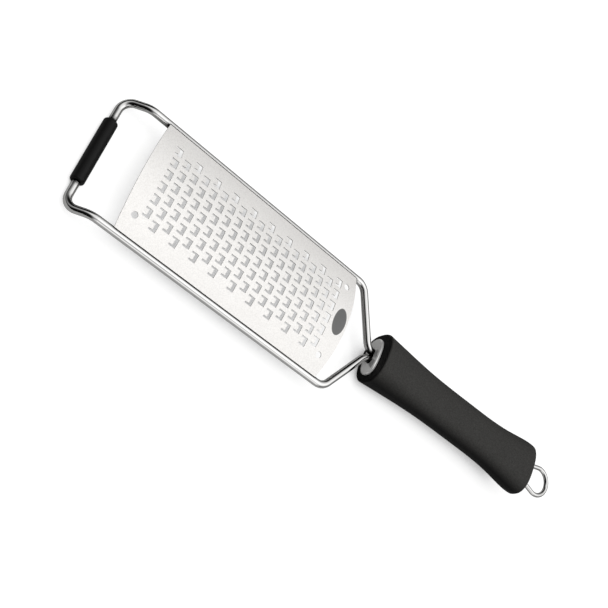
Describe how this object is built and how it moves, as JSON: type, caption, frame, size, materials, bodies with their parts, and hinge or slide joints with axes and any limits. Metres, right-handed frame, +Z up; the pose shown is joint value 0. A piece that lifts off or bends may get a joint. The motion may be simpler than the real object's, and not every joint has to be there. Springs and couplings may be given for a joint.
{
  "type": "rasp zester",
  "caption": "Wire-framed rasp zester: arched steel blade of raised teeth in a bent rod frame, rubber front sleeve, oval black grip and wire hanging loop.",
  "frame": {"origin": "on the surface that the front sleeve rests on, under the middle of the tool's length and width", "axes": "+X runs from the front foot to the hanging loop, +Y is left when looking along +X with the teeth up, +Z is up, out of the toothed side"},
  "size_m": [0.3208, 0.065, 0.0259],
  "materials": {
    "blade": "satin, fine lengthwise grain",
    "rod": "polished stainless steel",
    "weld": "cleaned weld beads",
    "sleeve": "satin black",
    "grip": "soft matte, fine grain",
    "core": "moulded, hidden",
    "ferrule": "satin flat face, bright rounded edge",
    "loop": "polished stainless steel"
  },
  "bodies": {
    "root": {"blade": "blade", "frame_rod": "rod", "blade_welds": "weld", "front_sleeve": "sleeve", "handle_grip": "grip", "handle_core": "core", "mouth_ferrule": "ferrule", "hanging_loop": "loop"}
  },
  "joints": []
}
